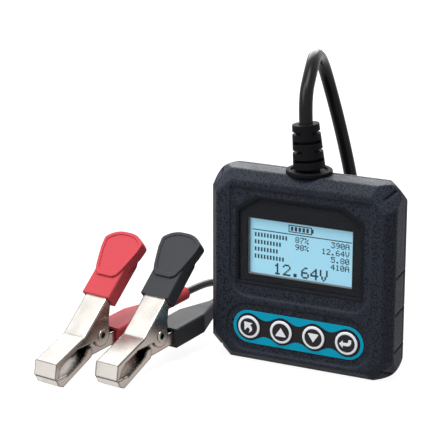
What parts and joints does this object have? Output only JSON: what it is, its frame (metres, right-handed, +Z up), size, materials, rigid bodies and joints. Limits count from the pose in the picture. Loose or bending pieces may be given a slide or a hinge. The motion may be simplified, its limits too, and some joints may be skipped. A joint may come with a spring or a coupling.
{
  "type": "battery tester",
  "caption": "Handheld battery tester: bevelled square case with a lit display and round keys, a cable from a ribbed boot, and spring clips on leads.",
  "frame": {"origin": "middle of the case's flat base, on the surface it stands on", "axes": "+Z up, +X to the right seen from the front, the display faces -Y"},
  "size_m": [0.1729, 0.2686, 0.1717],
  "materials": {
    "case_plastic": "fine-textured dark grey moulding",
    "lens_clear": "clear polished window",
    "mask_print": "dark print behind the lens",
    "lcd_grey": "satin grey moulding",
    "lcd_lit": "lit pale cyan display",
    "light_guide": "white light guide",
    "overlay_teal": "printed teal film",
    "key_dark": "dark key with a light ring and a symbol",
    "white_plastic": "white moulding",
    "black_plastic": "black moulding",
    "board_green": "solder mask",
    "chip_black": "moulded chip body",
    "ceramic": "ceramic body",
    "can_metal": "drawn can",
    "pin_brass": "plated pins",
    "terminal_green": "terminal block",
    "copper": "stranded cores",
    "screw_steel": "zinc-plated",
    "boot_rubber": "soft black moulding",
    "cable_black": "semi-gloss jacket",
    "jaw_steel": "nickel-plated pressed steel",
    "rivet_steel": "hollow rivet",
    "spring_steel": "spring wire",
    "grip_red": "soft red grip",
    "grip_black": "soft black grip",
    "crimp_tin": "tinned crimp"
  },
  "bodies": {
    "tester": {"front_cover": "case_plastic", "rear_cover": "case_plastic", "display_lens": "lens_clear", "lens_mask": "mask_print", "lcd_frame": "lcd_grey", "lcd_glass": "lcd_lit", "backlight": "light_guide", "lcd_pins": "pin_brass", "keypad_overlay": "overlay_teal", "tact_switches": "black_plastic", "main_board": "board_green", "microcontroller": "chip_black", "buzzer": "black_plastic", "load_resistors": "ceramic", "transistors": "chip_black", "capacitors": "can_metal", "cable_terminal": "terminal_green", "cable_cores": "copper", "board_screws": "screw_steel", "case_screws": "screw_steel", "cable_boot": "boot_rubber", "main_cable": "cable_black", "cable_splitter": "boot_rubber", "red_lead": "cable_black", "black_lead": "cable_black", "red_lower_jaw": "jaw_steel", "red_pivot_rivet": "rivet_steel", "red_torsion_spring": "spring_steel", "red_lower_grip": "grip_red", "red_crimp_terminal": "crimp_tin", "black_lower_jaw": "jaw_steel", "black_pivot_rivet": "rivet_steel", "black_torsion_spring": "spring_steel", "black_lower_grip": "grip_black", "black_crimp_terminal": "crimp_tin"},
    "key_back": {"key_back": "key_dark", "stem_back": "white_plastic"},
    "key_up": {"key_up": "key_dark", "stem_up": "white_plastic"},
    "key_down": {"key_down": "key_dark", "stem_down": "white_plastic"},
    "key_enter": {"key_enter": "key_dark", "stem_enter": "white_plastic"},
    "red_upper": {"red_upper_jaw": "jaw_steel", "red_upper_grip": "grip_red"},
    "black_upper": {"black_upper_jaw": "jaw_steel", "black_upper_grip": "grip_black"}
  },
  "joints": [
    {"name": "press_back", "type": "slide", "parent": "tester", "child": "key_back", "axis": [0, 1, 0], "range_m": [0, 0.0008], "stiffness_N_per_m": 1500, "springref_m": -0.0002},
    {"name": "press_up", "type": "slide", "parent": "tester", "child": "key_up", "axis": [0, 1, 0], "range_m": [0, 0.0008], "stiffness_N_per_m": 1500, "springref_m": -0.0002},
    {"name": "press_down", "type": "slide", "parent": "tester", "child": "key_down", "axis": [0, 1, 0], "range_m": [0, 0.0008], "stiffness_N_per_m": 1500, "springref_m": -0.0002},
    {"name": "press_enter", "type": "slide", "parent": "tester", "child": "key_enter", "axis": [0, 1, 0], "range_m": [0, 0.0008], "stiffness_N_per_m": 1500, "springref_m": -0.0002},
    {"name": "open_red_clip", "type": "hinge", "parent": "tester", "child": "red_upper", "pos_m": [-0.10471, -0.05762, 0.0198], "axis": [-0.9877, 0.1564, 0], "range_deg": [0, 30], "stiffness_Nm_per_rad": 1.5, "springref_deg": -0.23, "deforming": ["red_torsion_spring"]},
    {"name": "open_black_clip", "type": "hinge", "parent": "tester", "child": "black_upper", "pos_m": [-0.075, -0.04443, 0.0198], "axis": [-0.9903, 0.1392, 0], "range_deg": [0, 30], "stiffness_Nm_per_rad": 1.5, "springref_deg": -0.23, "deforming": ["black_torsion_spring"]}
  ]
}
